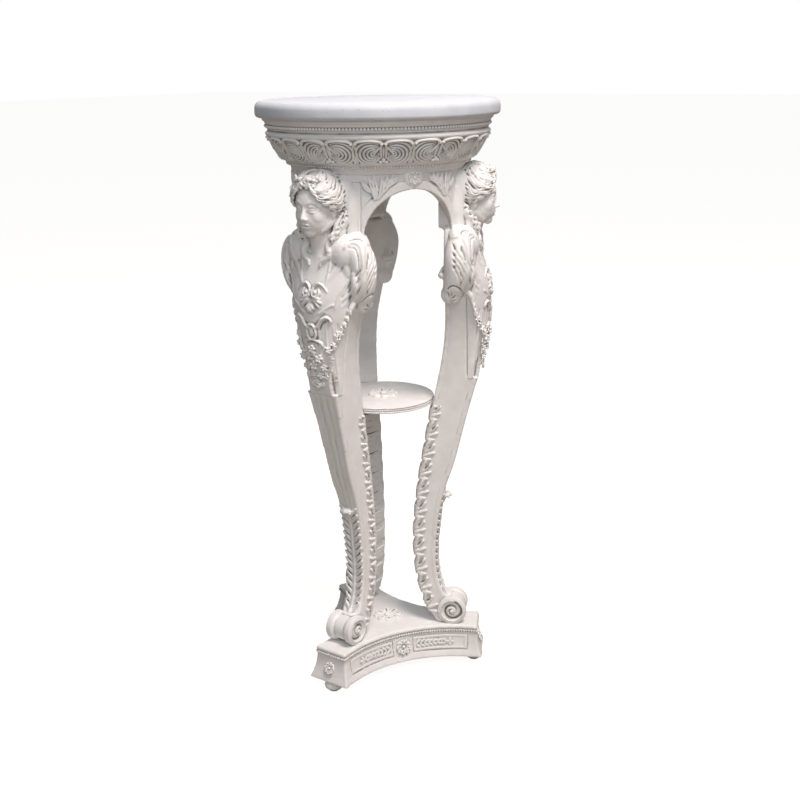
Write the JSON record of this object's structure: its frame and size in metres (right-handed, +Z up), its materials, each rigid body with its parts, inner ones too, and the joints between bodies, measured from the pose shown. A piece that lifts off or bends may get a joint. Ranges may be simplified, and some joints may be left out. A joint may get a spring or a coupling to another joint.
{
  "type": "pedestal stand",
  "caption": "Neoclassical round-topped pedestal in antique white, with figure-headed curved legs, a small middle shelf and a three-cornered plinth on bun feet.",
  "frame": {"origin": "on the floor under the centre of the top, on the stand's upright axis", "axes": "+Z up along the stand's axis; -Y towards the first leg; the other two legs stand a third of a turn to each side"},
  "size_m": [0.3999, 0.401, 1],
  "materials": {
    "painted_carving": "antique-white paint over carved wood, with grey patina rubbed into the hollows",
    "slab_stone": "honed cool-white stone with fine specks",
    "zinc_steel": "zinc plated",
    "dowel_beech": "plain beech",
    "board_plywood": "plain plywood",
    "foot_felt": "felt",
    "clear_bumper": "soft bumper"
  },
  "bodies": {
    "root": {"apron_arch_1": "painted_carving", "apron_arch_2": "painted_carving", "apron_arch_3": "painted_carving", "apron_dowels": "dowel_beech", "apron_rosettes": "painted_carving", "arch_bands": "painted_carving", "arm_scrolls_1": "painted_carving", "arm_scrolls_2": "painted_carving", "arm_scrolls_3": "painted_carving", "base_bead_strip": "painted_carving", "base_corner_rosettes": "painted_carving", "base_plinth": "painted_carving", "base_side_panels": "painted_carving", "base_side_rosettes": "painted_carving", "base_top_plate": "painted_carving", "base_top_rosette": "painted_carving", "board_screws": "zinc_steel", "bun_feet": "painted_carving", "bust_1": "painted_carving", "bust_2": "painted_carving", "bust_3": "painted_carving", "carrier_board": "board_plywood", "chest_garland_1": "painted_carving", "chest_garland_2": "painted_carving", "chest_garland_3": "painted_carving", "edge_leaves_1": "painted_carving", "edge_leaves_2": "painted_carving", "edge_leaves_3": "painted_carving", "foot_pads": "foot_felt", "foot_scroll_1": "painted_carving", "foot_scroll_2": "painted_carving", "foot_scroll_3": "painted_carving", "foot_studs": "zinc_steel", "frieze_bead": "painted_carving", "frieze_ring": "painted_carving", "frieze_screws": "zinc_steel", "front_reeds": "painted_carving", "hair_1": "painted_carving", "hair_2": "painted_carving", "hair_3": "painted_carving", "head_1": "painted_carving", "head_2": "painted_carving", "head_3": "painted_carving", "leaf_band": "painted_carving", "leg_1": "painted_carving", "leg_2": "painted_carving", "leg_3": "painted_carving", "leg_bolts": "zinc_steel", "leg_washers": "zinc_steel", "neck_bead": "painted_carving", "neck_dowels": "dowel_beech", "neck_ring": "painted_carving", "shelf": "painted_carving", "shelf_bead": "painted_carving", "shelf_pins": "zinc_steel", "shelf_rosette": "painted_carving", "shin_leaves": "painted_carving", "slab_pads": "clear_bumper", "spandrel_leaves": "painted_carving", "top_slab": "slab_stone"}
  },
  "joints": []
}
